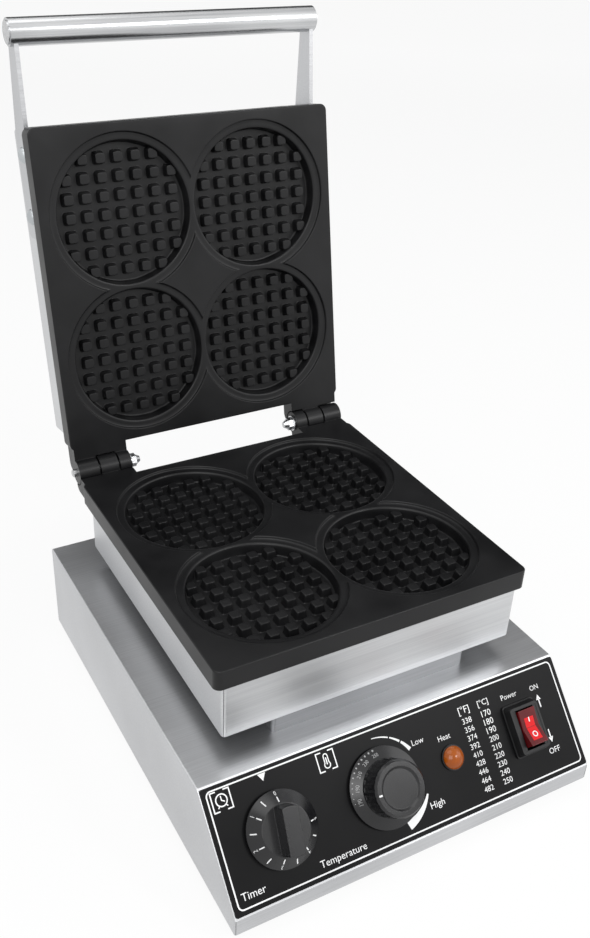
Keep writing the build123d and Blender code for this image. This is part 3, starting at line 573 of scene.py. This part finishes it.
# Waffle castings: the solid's outside is kept, and each cavity gets a stepped ring and a floor of soft bosses
casting = {
    "centres": [(-52.0, -74.2518), (52.0, -74.2518), (-52.0, 29.7482), (52.0, 29.7482)],
    "halfSpacing": 52.0, "middle": (0.0, -22.2518), "faceZ": 148.6, "plateZ": 134.6,
    "hinge": (108.7482, 149.0), "open": 100.5,
    # the ring's profile, from the rim inwards: radius and depth below the face
    "ring": [
        (56.7, 0.03), (56.28, 0.03), (56.05, 0.12), (55.82, 0.4), (55.7, 0.9), (55.58, 1.45), (55.35, 1.82),
        (54.95, 2.0), (53.0, 2.05), (51.4, 2.05), (50.75, 2.12), (50.3, 2.35), (49.95, 2.8), (49.75, 3.4),
        (49.4, 5.8), (48.85, 9.3), (48.6, 9.9), (48.2, 10.25), (47.7, 10.4), (47.2, 10.42),
    ],
    "ringSteps": 200, "cutRadius": 56.25, "sharpAngle": 0.7, "weld": 0.002 * mm,
    "floorDepth": 10.4, "floorR": 49.3, "bossPitch": 13.0, "bossReach": 3,
    "bossHeight": 5.8, "bossTop": 3.3, "bossFoot": 4.55, "squareness": 5.5,
    # the grid's lines, measured from each boss's middle and closest together over its slope
    "lines": (0.0, 2.2, 3.0, 3.35, 3.6, 3.85, 4.1, 4.35, 4.6, 5.2),
}


def ringSkin(c, centre):
    # a profile turned round the cavity's middle; towards a neighbour it stops half way, where both rings meet
    a = np.linspace(0, 2 * np.pi, c["ringSteps"], endpoint=False)
    radius, depth = np.array(c["ring"]).T
    inward = np.sign(np.asarray(c["middle"]) - np.asarray(centre))
    reachX = c["halfSpacing"] / np.maximum(np.cos(a) * inward[0], 1e-6)
    reachY = c["halfSpacing"] / np.maximum(np.sin(a) * inward[1], 1e-6)
    r = np.minimum(radius[None, :], np.minimum(reachX, reachY)[:, None])
    x, y = centre[0] + r * np.cos(a)[:, None], centre[1] + r * np.sin(a)[:, None]
    # the depth is the greatest that any of the four rings asks for at that point
    deepest = np.zeros_like(x)
    for other in c["centres"]:
        away = np.hypot(x - other[0], y - other[1])
        deepest = np.maximum(deepest, np.interp(away, radius[::-1], depth[::-1], left=depth[-1], right=0.0))
    z = c["faceZ"] - np.where(r < radius[None, :], deepest, depth[None, :])
    n, m = c["ringSteps"], len(radius)
    i, j = np.meshgrid(np.arange(n), np.arange(m - 1), indexing="ij")
    k = (i + 1) % n
    faces = np.stack([i * m + j, k * m + j, k * m + j + 1, i * m + j + 1], -1).reshape(-1, 4)
    return np.stack([x, y, z], -1).reshape(-1, 3), faces


def floorSkin(c, centre):
    # height over a grid: each boss is a plateau whose edge falls by a smooth step of the superellipse distance
    pitch = c["bossPitch"]
    half = np.array(c["lines"])
    one = np.concatenate([-half[:0:-1], half])
    axis = (np.arange(-4, 5)[:, None] * pitch + one[None, :]).ravel()
    axis = axis[np.abs(axis) < c["floorR"] + 1.5]
    x, y = np.meshgrid(axis, axis, indexing="ij")
    r = np.hypot(x, y)
    # cells wholly past the wall go, and the points past it are drawn in to it
    past = r > c["floorR"]
    gone = past[:-1, :-1] & past[1:, :-1] & past[1:, 1:] & past[:-1, 1:]
    squeeze = np.where(past, c["floorR"] / np.maximum(r, 1e-6), 1.0)
    x, y = x * squeeze, y * squeeze
    column, line = np.round(x / pitch), np.round(y / pitch)
    dx, dy, power = np.abs(x - column * pitch), np.abs(y - line * pitch), c["squareness"]
    d = (dx ** power + dy ** power) ** (1.0 / power)
    step = np.clip((d - c["bossTop"]) / (c["bossFoot"] - c["bossTop"]), 0, 1)
    inGrid = (np.abs(column) <= c["bossReach"]) & (np.abs(line) <= c["bossReach"])
    height = np.where(inGrid, c["bossHeight"] * (1 - step * step * (3 - 2 * step)), 0.0)
    z = c["faceZ"] - c["floorDepth"] + height
    size = len(axis)
    i, j = np.meshgrid(np.arange(size - 1), np.arange(size - 1), indexing="ij")
    faces = np.stack([i * size + j, (i + 1) * size + j, (i + 1) * size + j + 1, i * size + j + 1], -1)[~gone]
    return np.stack([x + centre[0], y + centre[1], z], -1).reshape(-1, 3), faces


def lidTurn(c):
    # the lid's casting is the lower one turned over about a line along Y, then swung back about the hinge
    overY = np.array([[-1, 0, 0], [0, 1, 0], [0, 0, -1.0]])
    a = np.radians(-c["open"])
    swing = np.array([[1, 0, 0], [0, np.cos(a), -np.sin(a)], [0, np.sin(a), np.cos(a)]])
    hinge = np.array([0, *c["hinge"]])
    turned = swing @ overY
    shift = swing @ (np.array([0, 0, 2 * c["hinge"][1]]) - hinge) + hinge
    return turned, shift


def weldedMesh(source, target, distance):
    # the source's mesh with its doubles merged and loose points gone goes into the target
    work = bmesh.new()
    work.from_mesh(source)
    bmesh.ops.remove_doubles(work, verts=work.verts, dist=distance)
    bmesh.ops.delete(work, geom=[v for v in work.verts if not v.link_faces], context="VERTS")
    work.to_mesh(target)
    work.free()


def dressedCasting(c, nodeName, pieceName, body, turn, shift):
    # the solid's cavity faces are left out, and the ring and floor skins take their place
    shell = bpy.data.meshes.new(pieceName)
    weldedMesh(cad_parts[nodeName].data, shell, c["weld"])
    points = np.empty(len(shell.vertices) * 3)
    shell.vertices.foreach_get("co", points)
    points = (points.reshape(-1, 3) / mm - shift) @ turn
    triangles = np.array([tuple(f.vertices) for f in shell.polygons])
    middle = points[triangles].mean(1)
    inside = np.zeros(len(triangles), bool)
    for x, y in c["centres"]:
        inside |= np.hypot(middle[:, 0] - x, middle[:, 1] - y) < c["cutRadius"]
    inside &= (middle[:, 2] > c["plateZ"] + 0.5) & (middle[:, 2] < c["faceZ"] + 0.01)
    parts = [(points, triangles[~inside].tolist())]
    for centre in c["centres"]:
        for skin in (ringSkin, floorSkin):
            skinPoints, skinFaces = skin(c, centre)
            a, b, d = (skinPoints[skinFaces[:, k]] for k in (0, 1, 3))
            if np.cross(b - a, d - a)[:, 2].sum() < 0:  # the skins look up, out of the cavity
                skinFaces = skinFaces[:, ::-1]
            parts.append((skinPoints, skinFaces.tolist()))
    allPoints, allFaces = joined(parts)
    allPoints = (allPoints @ turn.T + shift) * mm
    piece = newPiece(pieceName, allPoints, allFaces, castingCoat, body, smooth=True)
    weldedMesh(piece.data, piece.data, c["weld"])
    piece.data.set_sharp_from_angle(angle=c["sharpAngle"])
    bpy.data.meshes.remove(shell)
    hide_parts(nodeName)
    print(pieceName, len(piece.data.polygons), "faces")


dressedCasting(casting, "lower_plate", "lowerCasting", "base", np.eye(3), np.zeros(3))
dressedCasting(casting, "lid_plate", "lidCasting", "lid", *lidTurn(casting))

# Floor, lamps and camera: places and sizes in metres, lamps as name, place, size and watts
studio = {
    "floorHalf": 14.0, "floorHex": "#F4F4F3", "floorGlow": 0.9,
    "skyHex": "#E9EBED", "skyStrength": 0.62,
    "lamps": [
        ("keyLamp", (-0.9, -1.3, 1.5), 1.1, 15.0),
        ("fillLamp", (1.5, -0.9, 1.0), 1.3, 8.0),
        ("topLamp", (-0.3, 0.2, 1.9), 1.2, 7.0),
        ("glintLamp", (0.85, -1.5, 1.35), 0.4, 9.0),
    ],
    "card": {"place": (1.15, 1.9, 1.35), "half": (2.0, 0.85), "hex": "#2C2C2E"},
    "aim": (0.0, 0.0, 0.16),
}


def seenRays(tree):
    # 1 for what the camera, a mirror or glass sees, 0 for the light that falls on the object
    rays = addNode(tree, "ShaderNodeLightPath")
    mirrored = [(0, rays, "Is Camera Ray"), (1, rays, "Is Glossy Ray")]
    either = addNode(tree, "ShaderNodeMath", links=mirrored, operation="MAXIMUM")
    through = [(0, either, 0), (1, rays, "Is Transmission Ray")]
    return addNode(tree, "ShaderNodeMath", links=through, operation="MAXIMUM")


half = studio["floorHalf"]
floorMesh = bpy.data.meshes.new("floor")
floorMesh.from_pydata([(-half, -half, 0), (half, -half, 0), (half, half, 0), (-half, half, 0)], [], [(0, 1, 2, 3)])
floor = linkedObject("floor", floorMesh)
# Pale paper: mostly its own white where it is seen, with the object's soft shadow on it
floorMaterial = bpy.data.materials.new("palePaperFloor")
floorMaterial.use_nodes = True
tree = floorMaterial.node_tree
tree.nodes.clear()
glow = addNode(tree, "ShaderNodeMath", {1: studio["floorGlow"]}, [(0, seenRays(tree), 0)], operation="MULTIPLY")
paper = addNode(tree, "ShaderNodeBsdfDiffuse", {"Color": linearColor(studio["floorHex"])})
white = addNode(tree, "ShaderNodeEmission", {"Color": (1, 1, 1, 1), "Strength": 1.0})
mix = addNode(tree, "ShaderNodeMixShader", links=[(0, glow, 0), (1, paper, 0), (2, white, 0)])
addNode(tree, "ShaderNodeOutputMaterial", links=[("Surface", mix, 0)])
floorMesh.materials.append(floorMaterial)

world = bpy.data.worlds.new("studioWorld")
bpy.context.scene.world = world
world.use_nodes = True
tree = world.node_tree
tree.nodes.clear()
sky = addNode(tree, "ShaderNodeBackground", {"Color": linearColor(studio["skyHex"]), "Strength": studio["skyStrength"]})
white = addNode(tree, "ShaderNodeBackground", {"Color": (1, 1, 1, 1), "Strength": 1.0})
mix = addNode(tree, "ShaderNodeMixShader", links=[(0, seenRays(tree), 0), (1, sky, 0), (2, white, 0)])
addNode(tree, "ShaderNodeOutputWorld", links=[("Surface", mix, 0)])


def turnTowards(place, aim):
    # columns: right, up and back of something that looks along its own -Z
    back = np.asarray(place, float) - np.asarray(aim, float)
    back /= np.linalg.norm(back)
    right = np.cross([0, 0, 1], back)
    right /= np.linalg.norm(right)
    up = np.cross(back, right)
    return np.stack([right, up, back], -1)


def standing(item, place, turn):
    matrix = np.eye(4)
    matrix[:3, :3] = turn
    matrix[:3, 3] = place
    item.matrix_world = Matrix(matrix.tolist())


for name, place, size, power in studio["lamps"]:
    lamp = bpy.data.lights.new(name, "AREA")
    lamp.size = size
    lamp.energy = power
    standing(linkedObject(name, lamp), place, turnTowards(place, studio["aim"]))

# A grey card behind the object, unseen by the camera, which the flat steel tops mirror
card = studio["card"]
turn = turnTowards(card["place"], studio["aim"])
cardCorners = np.array([(-1, -1), (1, -1), (1, 1), (-1, 1)]) * np.asarray(card["half"])
cardPoints = np.asarray(card["place"]) + cardCorners[:, :1] * turn[:, 0] + cardCorners[:, 1:] * turn[:, 1]
cardMesh = bpy.data.meshes.new("greyCard")
cardMesh.from_pydata(cardPoints.tolist(), [], [(0, 1, 2, 3)])
greyCard = linkedObject("greyCard", cardMesh)
greyCard.visible_camera = False
cardMaterial, _, _ = newMaterial("greyCardboard", card["hex"], 0.0, 0.9)  # plain matt cardboard
cardMesh.materials.append(cardMaterial)

# The photograph's own view: angles in degrees, places in metres, focal length and picture centre in its pixels
cameraFit = {
    "azimuth": -29.4322, "elevation": 31.1252, "roll": 2.1132,
    "aim": (0.01401, 0.02817, 0.160), "distance": 0.76891,
    "focal": 1044.11, "centre": (277.64, 472.89), "picture": (590, 938), "sensor": 24.0,
}
a, e, roll = np.radians([cameraFit["azimuth"], cameraFit["elevation"], cameraFit["roll"]])
back = np.array([np.sin(a) * np.cos(e), -np.cos(a) * np.cos(e), np.sin(e)])
place = np.asarray(cameraFit["aim"]) + back * cameraFit["distance"]
level = turnTowards(place, cameraFit["aim"])
right = level[:, 0] * np.cos(roll) + level[:, 1] * np.sin(roll)
up = -level[:, 0] * np.sin(roll) + level[:, 1] * np.cos(roll)
pictureWidth, pictureHeight = cameraFit["picture"]
lens = bpy.data.cameras.new("photoCamera")
lens.sensor_fit = "VERTICAL"
lens.sensor_height = cameraFit["sensor"]
lens.lens = cameraFit["sensor"] * cameraFit["focal"] / pictureHeight
lens.shift_x = (pictureWidth / 2 - cameraFit["centre"][0]) / pictureHeight
lens.shift_y = (cameraFit["centre"][1] - pictureHeight / 2) / pictureHeight
lens.clip_start = 0.05
camera = linkedObject("photoCamera", lens)
standing(camera, place, np.stack([right, up, back], -1))
bpy.context.scene.camera = camera
bpy.context.scene.view_settings.view_transform = "Standard"
print("studio ready")
